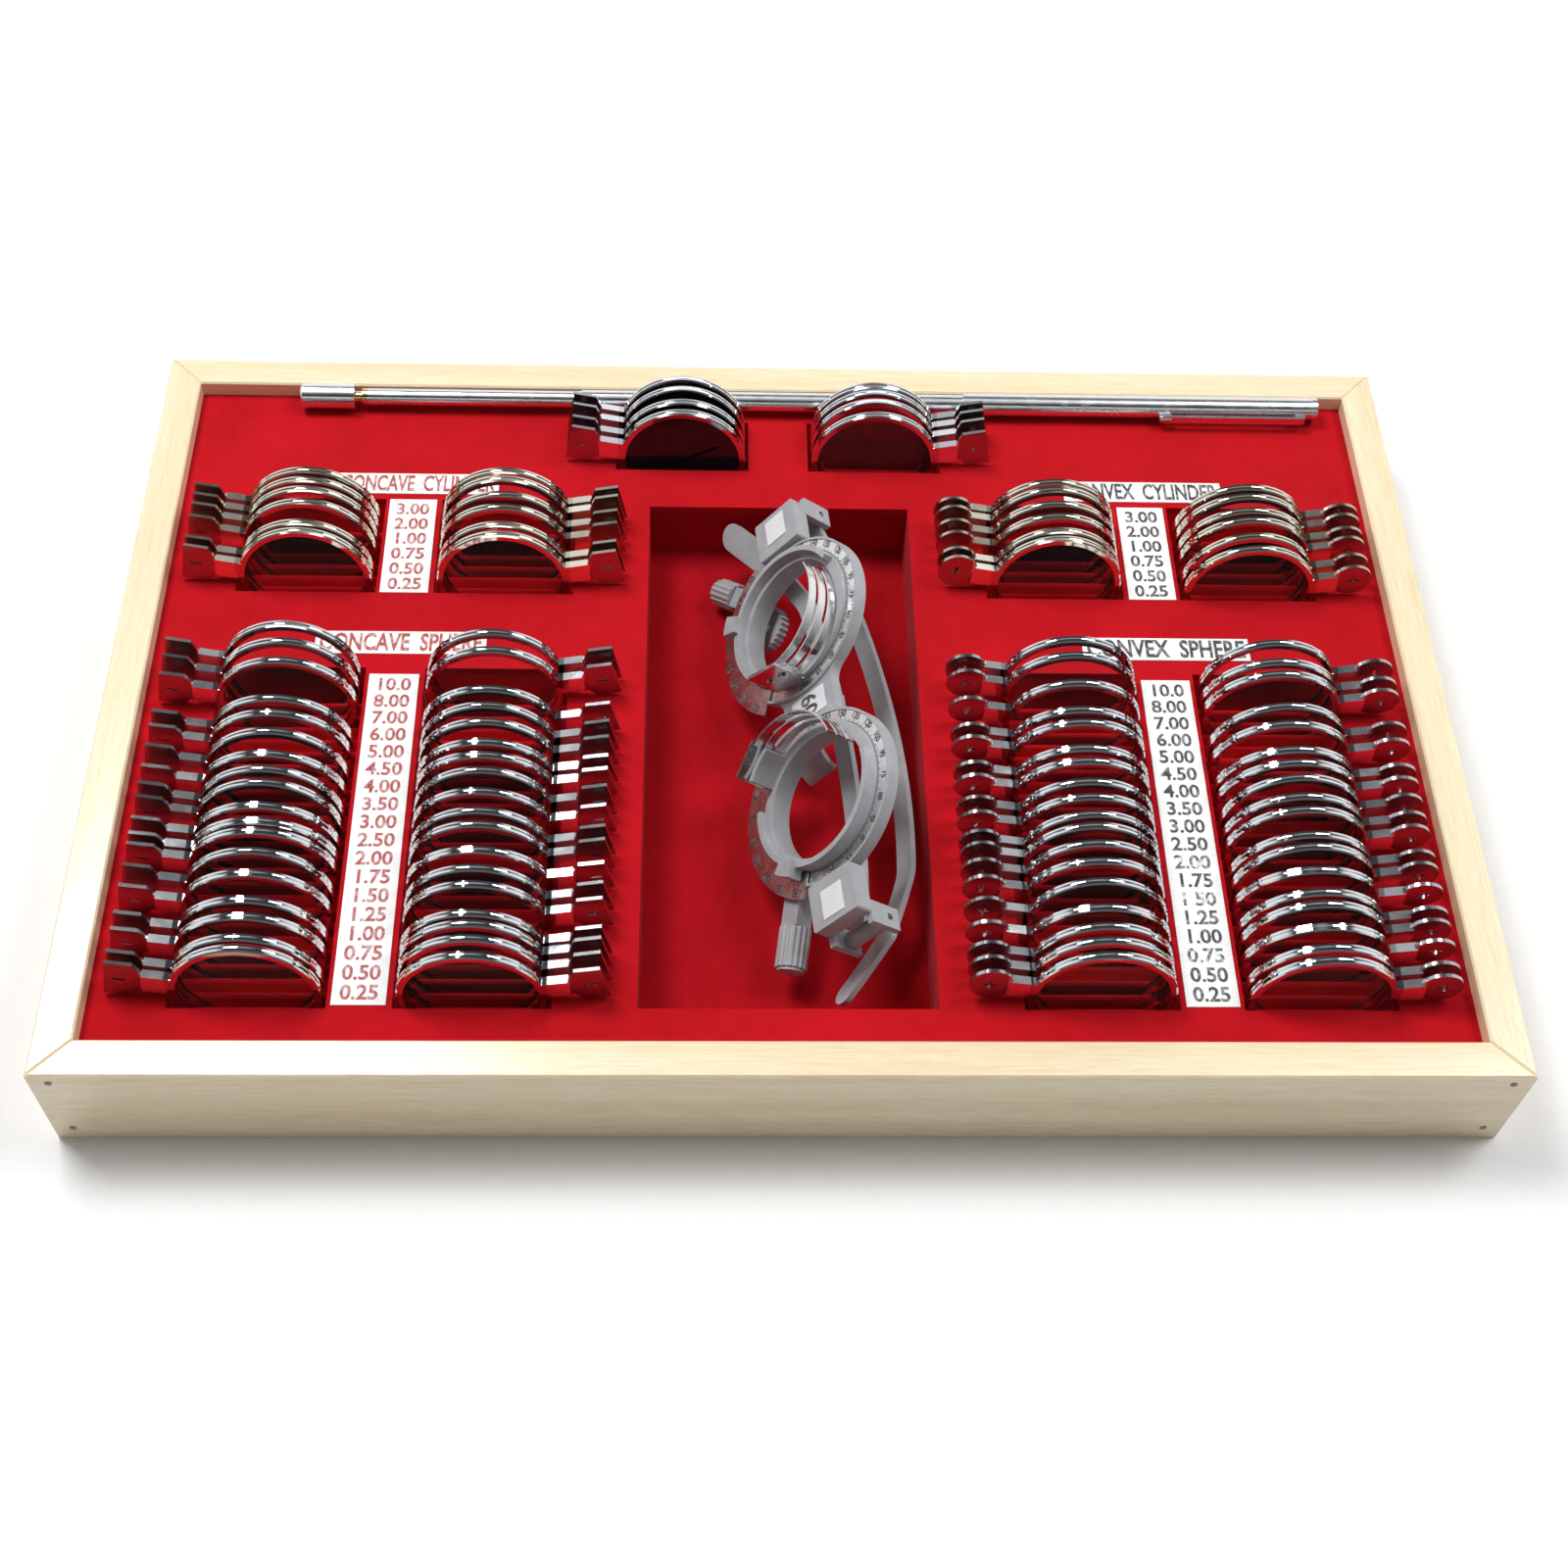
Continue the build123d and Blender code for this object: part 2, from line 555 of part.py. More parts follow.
with BuildPart() as end_blocks:
    for side, sign in SIDES:
        middle_x = sign * (EYE_X + (BLOCK_FROM + BLOCK_TO) / 2)
        with BuildSketch(FRAME.offset(BLOCK_BACK)):
            with Locations((middle_x, 0)):
                RectangleRounded(BLOCK_TO - BLOCK_FROM, BLOCK_H, 0.8)
        extrude(amount=BLOCK_FRONT - BLOCK_BACK)
        with BuildSketch(FRAME.offset(LUG_BACK)):
            with Locations((sign * HINGE_AT, 7.1), (sign * HINGE_AT, -7.1)):
                Rectangle(6.4, 1.8)
        extrude(amount=BLOCK_BACK - LUG_BACK)
        hinge_line = Plane(origin=FRAME.from_local_coords(Vector(sign * HINGE_AT, -9, HINGE_BACK)),
                           x_dir=FRAME.x_dir, z_dir=FRAME.y_dir)
        with BuildSketch(hinge_line):
            Circle(HINGE_PIN_R)
        extrude(amount=18, mode=Mode.SUBTRACT)
save(end_blocks, "end_blocks")

with BuildPart() as hinge_pins:
    for side, sign in SIDES:
        hinge_line = Plane(origin=FRAME.from_local_coords(Vector(sign * HINGE_AT, -8.2, HINGE_BACK)),
                           x_dir=FRAME.x_dir, z_dir=FRAME.y_dir)
        with BuildSketch(hinge_line):
            Circle(HINGE_PIN_R)
        extrude(amount=16.4)
save(hinge_pins, "hinge_pins")

with BuildPart() as frame_labels:
    with BuildSketch(FRAME.offset(BLOCK_FRONT)):
        for side, sign in SIDES:
            with Locations((sign * (EYE_X + 33), 0)):
                Rectangle(8.4, 7.4)
    extrude(amount=0.25)
    with BuildSketch(FRAME):
        Rectangle(7.6, 12.5)
    extrude(amount=0.25)
save(frame_labels, "frame_labels")

# Each temple is a strip bowed towards the wearer's head; its end bends down and widens into an ear paddle.
TEMPLES = {
    "right": (-1, TEMPLE_OFFSET, (20.0, -28.0), (82.0, -13.0),
              [(48, TEMPLE_OFFSET), (66, -3.0), (78, -16.0)], 6.2),
    "left": (1, -TEMPLE_OFFSET, (0.0, -15.0), (-82.0, 3.0),
             [(-42, -TEMPLE_OFFSET), (-58, -9.5), (-74, -19.0)], 8.2),
}
for side, (sign, height, bow_middle, bow_end, hook, paddle) in TEMPLES.items():
    barrel_line = Plane(origin=FRAME.from_local_coords(Vector(sign * HINGE_AT, -6.05, HINGE_BACK)),
                        x_dir=FRAME.x_dir, z_dir=FRAME.y_dir)
    bow_plane = Plane(origin=FRAME.from_local_coords(Vector(0, -40, 0)), x_dir=FRAME.x_dir,
                      z_dir=FRAME.y_dir)
    with BuildPart() as temple:
        with BuildSketch(bow_plane):
            with BuildLine():
                ThreePointArc((sign * HINGE_AT, -HINGE_BACK), (bow_middle[0], -bow_middle[1]),
                              (bow_end[0], -bow_end[1]))
            trace(line_width=TEMPLE_T)
        extrude(amount=60)
        with BuildSketch(FRAME.offset(-40)):
            with BuildLine() as route:
                FilletPolyline((sign * HINGE_AT, height), *hook, radius=14)
            trace(line_width=TEMPLE_H)
            with BuildLine():
                Line(hook[-2], hook[-1])
            trace(line_width=paddle)
            with Locations(*hook[-2:]):
                Circle(paddle / 2)
        extrude(amount=50, mode=Mode.INTERSECT)
        with BuildSketch(barrel_line):
            Circle(BARREL_R)
        extrude(amount=12.1)
        with BuildSketch(barrel_line):
            Circle(HINGE_PIN_R + 0.05)
        extrude(amount=12.1, mode=Mode.SUBTRACT)
    save(temple, f"{side}_temple")



def knob_axis(side, sign):
    """Start point and direction of one drive knob's axis."""
    leaves, points, _, _ = KNOBS[side]
    along = FRAME.x_dir * (sign * cos(radians(points))) - FRAME.y_dir * sin(radians(points))
    start = FRAME.from_local_coords(Vector(sign * (EYE_X + KNOB_START * cos(radians(leaves))),
                                           -KNOB_START * sin(radians(leaves)), KNOB_BACK))
    return start, along


# A drive knob on a square neck beside each ring.
with BuildPart() as knob_necks:
    for side, sign in SIDES:
        start, along = knob_axis(side, sign)
        neck_length = KNOBS[side][2]
        neck_plane = Plane(origin=start, x_dir=FRAME.z_dir, z_dir=along)
        with BuildSketch(neck_plane):
            Rectangle(5.2, 6.0)
        extrude(amount=neck_length - 0.3)
        reach_back = KNOB_START - RING_R - 0.05 - SHAFT_R * sin(radians(abs(KNOBS[side][0] - KNOBS[side][1])))
        with BuildSketch(neck_plane.offset(-reach_back)):
            Circle(SHAFT_R)
        extrude(amount=reach_back + neck_length + 5.0)
save(knob_necks, "knob_necks")

for side, sign in SIDES:
    start, along = knob_axis(side, sign)
    neck_length, knob_length = KNOBS[side][2:]
    knob_plane = Plane(origin=start + along * neck_length, x_dir=FRAME.z_dir, z_dir=along)
    with BuildPart() as knob:
        with BuildSketch(knob_plane):
            Circle(KNOB_R - 0.25)
            with PolarLocations(KNOB_R - 0.55, 16):
                Circle(0.62)
            Circle(1.55, mode=Mode.SUBTRACT)
        extrude(amount=knob_length)
        with BuildSketch(knob_plane.offset(knob_length)):
            Circle(KNOB_R - 0.6)
        extrude(amount=0.9)
    save(knob, f"{side}_knob")

# The nose saddle slides up and down on a bar behind the bridge.
BAR_BACK = -7.0
BAR_T = 2.2
BAR_W = 4.0
with BuildPart() as nose_bar:
    with BuildSketch(FRAME.offset(BAR_BACK)):
        with Locations((0, -6)):
            Rectangle(BAR_W, 26.0)
    extrude(amount=BAR_T)
    with BuildSketch(FRAME.offset(BAR_BACK + BAR_T)):
        Circle(2.0)
    extrude(amount=-BAR_BACK - BAR_T - RING_T)
save(nose_bar, "nose_bar")

SADDLE_BACK = -12.0
saddle_plane = Plane(origin=FRAME.from_local_coords(Vector(0, -19, SADDLE_BACK)), x_dir=FRAME.x_dir,
                     z_dir=FRAME.y_dir)
with BuildPart() as nose_pad:
    with BuildSketch(saddle_plane):
        with BuildLine():
            CenterArc((0, 9.0), 9.6, 205, 130)
        trace(line_width=1.8)
    extrude(amount=10)
    with BuildSketch(saddle_plane.offset(1.0)):
        with Locations((0, -4.8)):
            Rectangle(7.4, 7.6)
        with Locations((0, SADDLE_BACK - BAR_BACK - BAR_T / 2)):
            Rectangle(BAR_W + 0.1, BAR_T + 0.1, mode=Mode.SUBTRACT)
    extrude(amount=8)
save(nose_pad, "nose_pad")

with BuildPart() as drive_wheel:
    with BuildSketch(FRAME.offset(-9.6)):
        with Locations((-EYE_X - 12.5, -18.2)):
            Circle(6.0)
            with PolarLocations(6.1, 24):
                Rectangle(1.4, 0.8)
    extrude(amount=2.6)
    with BuildSketch(FRAME.offset(-7.0)):
        with Locations((-EYE_X - 12.5, -18.2)):
            Circle(1.4)
    extrude(amount=7.0 - RING_T)
save(drive_wheel, "drive_wheel")

# ---- the pointer ----
POINTER = Plane(origin=(0, POINTER_Y, POINTER_Z), x_dir=(0, 1, 0), z_dir=(1, 0, 0))


def add_tube(start, end, radius, bore=0.0):
    """A round bar or tube along the pointer's axis, in the current part."""
    with Locations(POINTER.offset((start + end) / 2)):
        Cylinder(radius, end - start)
        if bore:
            Cylinder(bore, end - start, mode=Mode.SUBTRACT)


with BuildPart() as pointer_outer_tube:
    add_tube(OUTER_TUBE[0], OUTER_TUBE[1] - 4, OUTER_TUBE[2], OUTER_TUBE[3])
    add_tube(OUTER_TUBE[1] - 4, OUTER_TUBE[1], OUTER_TUBE[2])
    add_tube(OUTER_TUBE[1], OUTER_TUBE[1] + 1.5, OUTER_TUBE[2] + 0.25)
save(pointer_outer_tube, "pointer_outer_tube")

with BuildPart() as pointer_middle_tube:
    add_tube(*MIDDLE_TUBE)
save(pointer_middle_tube, "pointer_middle_tube")

with BuildPart() as pointer_inner_tube:
    add_tube(*INNER_TUBE)
save(pointer_inner_tube, "pointer_inner_tube")

NECK_START = KNOB_END + POINTER_KNOB_L
with BuildPart() as pointer_neck:
    add_tube(NECK_START, NECK_START + 2.2, 1.75)
    add_tube(NECK_START + 2.2, INNER_TUBE[0], 2.54)
    add_tube(INNER_TUBE[0], INNER_TUBE[0] + 5, INNER_TUBE[3])
save(pointer_neck, "pointer_neck")

with BuildPart() as pointer_knob:
    add_tube(KNOB_END, NECK_START, POINTER_KNOB_R)
    chamfer(pointer_knob.edges().sort_by(Axis.X)[0], 0.7)
save(pointer_knob, "pointer_knob")

CLIP_FROM = 118.5
CLIP_DROP = OUTER_TUBE[2] + 1.6
with BuildPart() as pointer_clip:
    with BuildSketch(Plane.XY.offset(POINTER_Z - 1.3)):
        with Locations(((CLIP_FROM + 162.5) / 2, POINTER_Y - CLIP_DROP)):
            Rectangle(162.5 - CLIP_FROM, 0.9)
        with Locations((161.5, POINTER_Y - OUTER_TUBE[2] - 0.95)):
            Rectangle(3.0, 1.7)
    extrude(amount=2.6)
    with BuildSketch(POINTER.offset(CLIP_FROM - 0.8)):
        with Locations((-CLIP_DROP + 0.35, 0)):
            Circle(1.2)
    extrude(amount=3.6)
save(pointer_clip, "pointer_clip")
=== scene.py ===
"""Looks of the trial lens set: materials, velvet inserts, printed text, lights and camera."""
import math

import bmesh
import bpy
from mathutils import Matrix, Vector


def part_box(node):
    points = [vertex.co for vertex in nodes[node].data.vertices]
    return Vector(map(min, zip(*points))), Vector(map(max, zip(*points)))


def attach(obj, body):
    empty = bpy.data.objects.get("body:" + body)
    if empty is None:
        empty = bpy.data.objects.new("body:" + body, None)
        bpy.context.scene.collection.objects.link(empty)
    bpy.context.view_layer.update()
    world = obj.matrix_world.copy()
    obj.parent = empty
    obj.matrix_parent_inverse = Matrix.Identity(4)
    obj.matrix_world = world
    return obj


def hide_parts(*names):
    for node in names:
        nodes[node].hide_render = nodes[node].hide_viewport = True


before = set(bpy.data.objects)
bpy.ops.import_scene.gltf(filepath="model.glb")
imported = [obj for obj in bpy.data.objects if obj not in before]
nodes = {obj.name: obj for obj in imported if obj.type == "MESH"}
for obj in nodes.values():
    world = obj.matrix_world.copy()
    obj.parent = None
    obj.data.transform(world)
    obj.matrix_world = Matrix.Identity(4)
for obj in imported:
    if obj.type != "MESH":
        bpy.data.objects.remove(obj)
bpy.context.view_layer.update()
MM = 0.001
TWO_PI = 2 * math.pi

# ---------------------------------------------------------------- materials


def new_material(name):
    """An empty Principled material with object coordinates, in millimetres, ready to wire."""
    mat = bpy.data.materials.new(name)
    mat.use_nodes = True
    tree = mat.node_tree
    shader = tree.nodes["Principled BSDF"]
    coords = tree.nodes.new("ShaderNodeTexCoord")
    scale = tree.nodes.new("ShaderNodeVectorMath")
    scale.operation = "SCALE"
    scale.inputs["Scale"].default_value = 1.0 / MM
    tree.links.new(coords.outputs["Object"], scale.inputs[0])
    return mat, tree, shader, scale.outputs[0]


def noise(tree, vector, scale, detail=4.0, rough=0.55, stretch=None):
    """A noise texture, scale in features per mm, optionally stretched along the axes."""
    if stretch:
        mapping = tree.nodes.new("ShaderNodeMapping")
        mapping.inputs["Scale"].default_value = stretch
        tree.links.new(vector, mapping.inputs["Vector"])
        vector = mapping.outputs["Vector"]
    tex = tree.nodes.new("ShaderNodeTexNoise")
    tex.inputs["Scale"].default_value = scale
    tex.inputs["Detail"].default_value = detail
    tex.inputs["Roughness"].default_value = rough
    tree.links.new(vector, tex.inputs["Vector"])
    return tex.outputs["Fac"]


def ramp(tree, value, stops):
    """A colour ramp through (position, colour) stops."""
    node = tree.nodes.new("ShaderNodeValToRGB")
    elements = node.color_ramp.elements
    for element, (at, colour) in zip(elements, stops[:2]):
        element.position = at
        element.color = (*colour, 1)
    for at, colour in stops[2:]:
        element = elements.new(at)
        element.color = (*colour, 1)
    tree.links.new(value, node.inputs["Fac"])
    return node.outputs["Color"]


def map_range(tree, value, low, high, from_low=0.3, from_high=0.7):
    """The value stretched from one range onto another; noise lies mostly between the defaults."""
    node = tree.nodes.new("ShaderNodeMapRange")
    node.inputs["From Min"].default_value = from_low
    node.inputs["From Max"].default_value = from_high
    node.inputs["To Min"].default_value = low
    node.inputs["To Max"].default_value = high
    tree.links.new(value, node.inputs["Value"])
    return node.outputs["Result"]


def mix_colour(tree, factor, first, second, blend="MIX"):
    """Mix two colours, each a socket or an RGB tuple."""
    node = tree.nodes.new("ShaderNodeMix")
    node.data_type = "RGBA"
    node.blend_type = blend
    factor_socket, first_socket, second_socket = node.inputs[0], node.inputs[6], node.inputs[7]
    for socket, value in ((factor_socket, factor), (first_socket, first), (second_socket, second)):
        if hasattr(value, "links"):
            tree.links.new(value, socket)
        elif isinstance(value, tuple):
            socket.default_value = (*value, 1)
        else:
            socket.default_value = value
    return node.outputs[2]


def bump(tree, shader, height, strength, distance_mm):
    """Feed a height socket into the shader's normal."""
    node = tree.nodes.new("ShaderNodeBump")
    node.inputs["Strength"].default_value = strength
    node.inputs["Distance"].default_value = distance_mm * MM
    tree.links.new(height, node.inputs["Height"])
    tree.links.new(node.outputs["Normal"], shader.inputs["Normal"])


GRAIN_STRETCH = 0.045


def birch(name, along):
    """Pale lacquered birch, its grain running along X (0) or Y (1)."""
    mat, tree, shader, mm = new_material(name)
    stretch = (GRAIN_STRETCH, 1.0, 1.0) if along == 0 else (1.0, GRAIN_STRETCH, 1.0)
    fine = noise(tree, mm, 1.6, 6, 0.65, stretch)
    broad = noise(tree, mm, 0.16, 3, 0.5, stretch)
    fleck_stretch = (0.25, 2.0, 2.0) if along == 0 else (2.0, 0.25, 2.0)
    flecks = noise(tree, mm, 0.9, 2, 0.5, fleck_stretch)
    base = ramp(tree, broad, [(0.30, (0.81, 0.67, 0.44)), (0.72, (0.88, 0.77, 0.55))])
    grain = ramp(tree, fine, [(0.34, (0.80, 0.72, 0.60)), (0.60, (1.0, 1.0, 1.0))])
    colour = mix_colour(tree, 0.55, base, grain, "MULTIPLY")
    dark = ramp(tree, flecks, [(0.62, (1.0, 1.0, 1.0)), (0.74, (0.90, 0.80, 0.64))])
    colour = mix_colour(tree, 0.6, colour, dark, "MULTIPLY")
    tree.links.new(colour, shader.inputs["Base Color"])
    tree.links.new(map_range(tree, fine, 0.38, 0.26), shader.inputs["Roughness"])
    shader.inputs["Coat Weight"].default_value = 0.35
    shader.inputs["Coat Roughness"].default_value = 0.12
    bump(tree, shader, fine, 0.12, 0.15)
    return mat


def velvet(name, light, dark):
    """Short-pile velvet: cloudy brushed patches, a fine nap and a soft sheen."""
    mat, tree, shader, mm = new_material(name)
    patches = noise(tree, mm, 0.035, 4, 0.6)
    nap = noise(tree, mm, 3.2, 3, 0.7)
    strokes = noise(tree, mm, 0.5, 3, 0.6, (1.0, 0.3, 1.0))
    cloud = ramp(tree, patches, [(0.30, dark), (0.70, light)])
    colour = mix_colour(tree, map_range(tree, nap, 0.0, 0.5), cloud, dark)
    colour = mix_colour(tree, map_range(tree, strokes, 0.0, 0.28), colour, light)
    tree.links.new(colour, shader.inputs["Base Color"])
    shader.inputs["Roughness"].default_value = 0.92
    shader.inputs["Specular IOR Level"].default_value = 0.12
    shader.inputs["Sheen Weight"].default_value = 0.15
    shader.inputs["Sheen Roughness"].default_value = 0.45
    shader.inputs["Sheen Tint"].default_value = (1.0, 0.22, 0.25, 1)
    bump(tree, shader, nap, 0.55, 0.25)
    return mat


def outside_rims(tree, vector, inner, outer):
    """1 beyond the rims: nearer the centre line than inner or further out than outer, in mm."""
    split = tree.nodes.new("ShaderNodeSeparateXYZ")
    tree.links.new(vector, split.inputs[0])
    masks = []
    for operation, value, limit in (("ABSOLUTE", split.outputs["X"], 0.0),
                                    ("LESS_THAN", None, inner),
                                    ("GREATER_THAN", None, outer)):
        node = tree.nodes.new("ShaderNodeMath")
        node.operation = operation
        tree.links.new(value or masks[0], node.inputs[0])
        node.inputs[1].default_value = limit
        masks.append(node.outputs[0])
    both = tree.nodes.new("ShaderNodeMath")
    both.operation = "ADD"
    tree.links.new(masks[1], both.inputs[0])
    tree.links.new(masks[2], both.inputs[1])
    return both.outputs[0]


# A lens handle is duller than its rim. Its block neck gets a painted highlight, its metal colour
# brightened, and its flat tab painted shade, its metal colour darkened as if it reflected the
# shadowed velvet before it.
HANDLE_DULLING = 0.13
TAB_PAINTED_SHADE_TONE = 0.62
NECK_PAINTED_HIGHLIGHT_TONE = 1.3


def toned(colour, tone):
    """A colour made lighter or darker by a factor."""
    return tuple(c * tone for c in colour)


def metal(name, colour, rough_low, rough_high, scratch=(1.0, 1.0, 1.0), strength=0.02,
          handles=None):
    """Plated metal with faint handling marks in its gloss; handles says where lens handles are,
    whose necks get a painted highlight and whose tabs painted shade.
    """
    mat, tree, shader, mm = new_material(name)
    smear = noise(tree, mm, 0.25, 4, 0.6)
    fine = noise(tree, mm, 2.5, 4, 0.6, scratch)
    tint = mix_colour(tree, map_range(tree, smear, 0.0, 0.35), colour, toned(colour, 0.86))
    gloss = map_range(tree, smear, rough_low, rough_high)
    if handles:
        on_handle = outside_rims(tree, mm, *handles["necks"])
        on_tab = outside_rims(tree, mm, *handles["tabs"])
        # Painted light and shade on one metal: the neck is tinted brighter as a painted highlight,
        # the tab darker as painted shade.
        tint = mix_colour(tree, on_handle, tint, toned(colour, NECK_PAINTED_HIGHLIGHT_TONE))
        tint = mix_colour(tree, on_tab, tint, toned(colour, TAB_PAINTED_SHADE_TONE))
        duller = tree.nodes.new("ShaderNodeMath")
        duller.operation = "MULTIPLY_ADD"
        tree.links.new(on_handle, duller.inputs[0])
        duller.inputs[1].default_value = HANDLE_DULLING
        tree.links.new(gloss, duller.inputs[2])
        gloss = duller.outputs[0]
    tree.links.new(tint, shader.inputs["Base Color"])
    tree.links.new(gloss, shader.inputs["Roughness"])
    shader.inputs["Metallic"].default_value = 1.0
    bump(tree, shader, fine, strength, 0.05)
    return mat


def plastic(name, colour, rough, grain=0.12, spread=0.10):
    """Moulded plastic with a fine spark-eroded grain and slight mottling."""
    mat, tree, shader, mm = new_material(name)
    mottle = noise(tree, mm, 0.22, 4, 0.6)
    grit = noise(tree, mm, 4.0, 2, 0.5)
    darker = tuple(c * (1 - spread) for c in colour)
    lighter = tuple(min(1.0, c * (1 + spread)) for c in colour)
    tint = mix_colour(tree, map_range(tree, mottle, 0.0, 1.0), darker, lighter)
    tree.links.new(tint, shader.inputs["Base Color"])
    tree.links.new(map_range(tree, grit, rough - 0.05, rough + 0.07), shader.inputs["Roughness"])
    bump(tree, shader, grit, grain, 0.12)
    return mat


GLASS_ROUGHNESS = 0.02


def glass(name, colour, alpha):
    """Thin clear or tinted glass, with a faint cloud of dust in its gloss."""
    mat, tree, shader, mm = new_material(name)
    dust = noise(tree, mm, 0.3, 4, 0.6)
    tint = mix_colour(tree, map_range(tree, dust, 0.0, 0.4), colour, toned(colour, 0.9))
    tree.links.new(tint, shader.inputs["Base Color"])
    roughness = map_range(tree, dust, GLASS_ROUGHNESS, GLASS_ROUGHNESS + 0.05)
    tree.links.new(roughness, shader.inputs["Roughness"])
    shader.inputs["Alpha"].default_value = alpha
    shader.inputs["Specular IOR Level"].default_value = 0.9
    return mat


def card(name):
    """Matt card with faint paper fibres."""
    mat, tree, shader, mm = new_material(name)
    fibre = noise(tree, mm, 1.8, 4, 0.6, (0.5, 1.0, 1.0))
    tone = ramp(tree, fibre, [(0.3, (0.80, 0.79, 0.77)), (0.7, (0.90, 0.895, 0.88))])
    tree.links.new(tone, shader.inputs["Base Color"])
    shader.inputs["Roughness"].default_value = 0.6
    bump(tree, shader, fibre, 0.1, 0.06)
    return mat


PAPER_TONE = 0.8


def ink(name, colour, worn):
    """Printing ink that thins out in patches, worn being how far they fade towards the paper."""
    mat, tree, shader, mm = new_material(name)
    wear = noise(tree, mm, 0.5, 5, 0.65)
    patch = tuple(c + (PAPER_TONE - c) * worn for c in colour)
    tone = ramp(tree, wear, [(0.40, patch), (0.52, colour)])
    tree.links.new(tone, shader.inputs["Base Color"])
    shader.inputs["Roughness"].default_value = 0.55
    return mat


BIRCH_X = birch("birch_along_x", 0)
BIRCH_Y = birch("birch_along_y", 1)
PLYWOOD = plastic("raw_board", (0.50, 0.36, 0.21), 0.75, 0.3, 0.18)
VELVET = velvet("velvet_red", (0.54, 0.005, 0.012), (0.39, 0.003, 0.007))
# The well liner is the deck's velvet painted darker: painted shade for the recessed well.
VELVET_LINER_PAINTED_SHADE = velvet("velvet_liner_painted_shade", (0.46, 0.004, 0.010), (0.32, 0.002, 0.006))
# The rib inserts are the deck's velvet painted brighter: painted light making up for the shadows
# that the lenses and rims cast into the pockets.
VELVET_INSERT_PAINTED_LIGHT = velvet("velvet_insert", (0.85, 0.010, 0.020), (0.60, 0.004, 0.010))
CARD = card("printed_card")
# Where the handles start beyond the rims, and the tabs beyond the necks: mm from the centre line.
LENS_HANDLES = {"necks": (60.8, 155.7), "tabs": (55.0, 161.5)}
ACCESSORY_HANDLES = {"necks": (0.0, 48.3), "tabs": (0.0, 54.0)}
CHROME_COLOUR = (0.70, 0.71, 0.73)
CHROME = metal("bright_chrome", CHROME_COLOUR, 0.03, 0.08, handles=LENS_HANDLES)
NICKEL = metal("warm_nickel", (0.76, 0.70, 0.60), 0.04, 0.10, handles=LENS_HANDLES)
ACCESSORY_CHROME = metal("accessory_chrome", CHROME_COLOUR, 0.03, 0.08,
                         handles=ACCESSORY_HANDLES)
STEEL = metal("spring_steel", (0.74, 0.74, 0.75), 0.10, 0.20, (3.0, 0.3, 1.0), 0.06)
TUBE = metal("pointer_steel", (0.82, 0.83, 0.86), 0.20, 0.28, (0.08, 3.0, 3.0), 0.05)
BRASS = metal("turned_brass", (0.78, 0.58, 0.30), 0.14, 0.24)
BRAD = plastic("brad_filler", (0.24, 0.20, 0.16), 0.6, 0.1, 0.15)
GREY = plastic("frame_grey", (0.36, 0.37, 0.385), 0.42)
LABEL = plastic("label_white", (0.74, 0.75, 0.76), 0.25, 0.03, 0.03)
SCALE = metal("scale_plate", (0.83, 0.83, 0.82), 0.24, 0.36)
CLEAR = glass("lens_glass", (0.25, 0.24, 0.24), 0.024)
RED_GLASS = glass("red_filter", (0.34, 0.010, 0.012), 0.80)
BLACK = plastic("occluder_black", (0.012, 0.012, 0.014), 0.12, 0.02, 0.2)
RED_INK = ink("red_ink", (0.38, 0.055, 0.050), 0.35)
BLACK_INK = ink("black_ink", (0.045, 0.045, 0.05), 0.25)
FADED_INK = ink("faded_ink", (0.10, 0.10, 0.11), 0.95)

LOOKS = {
    "rail_front": BIRCH_X, "rail_back": BIRCH_X, "rail_left": BIRCH_Y, "rail_right": BIRCH_Y,
    "base_board": PLYWOOD, "velvet_deck": VELVET, "well_liner": VELVET_LINER_PAINTED_SHADE,
    "power_cards": CARD, "header_cards": CARD, "corner_pins": BRAD,
    "accessory_rims": ACCESSORY_CHROME, "slit_loose_rim": ACCESSORY_CHROME,
    "slit_loose_disc": BLACK, "dark_discs": BLACK, "red_filters": RED_GLASS,
    "accessory_glasses": CLEAR, "scale_rings": SCALE, "frame_labels": LABEL, "hinge_pins": STEEL,
    "pointer_outer_tube": TUBE, "pointer_middle_tube": TUBE, "pointer_inner_tube": TUBE,
    "pointer_knob": TUBE, "pointer_clip": TUBE, "pointer_neck": BRASS,
}
for kind, plating in (("concave_sphere", CHROME), ("convex_sphere", CHROME),
                      ("concave_cylinder", NICKEL), ("convex_cylinder", NICKEL)):
    for group in ("rims", "loose_rim"):
        LOOKS[f"{kind}_{group}"] = plating
    for group in ("glasses", "loose_glass"):
        LOOKS[f"{kind}_{group}"] = CLEAR
for side in ("right", "left"):
    for part in ("cell", "temple", "knob"):
        LOOKS[f"{side}_{part}"] = GREY
    LOOKS[f"{side}_clip"] = STEEL
    LOOKS[f"{side}_clip_rivets"] = STEEL
for part in ("frame_front", "end_blocks", "knob_necks", "nose_bar", "nose_pad", "drive_wheel"):
    LOOKS[part] = GREY

# Moulded, sanded and fabric-covered edges are softened by a small bevel, in mm.
SOFT_EDGES = {
    "rail_front": 0.4, "rail_back": 0.4, "rail_left": 0.4, "rail_right": 0.4, "velvet_deck": 0.7,
    "end_blocks": 0.45, "frame_front": 0.35, "knob_necks": 0.3, "right_knob": 0.3,
    "left_knob": 0.3, "nose_pad": 0.4, "right_temple": 0.4, "left_temple": 0.4,
    "right_cell": 0.2, "left_cell": 0.2,
}
SMOOTH_ANGLE = math.radians(35)

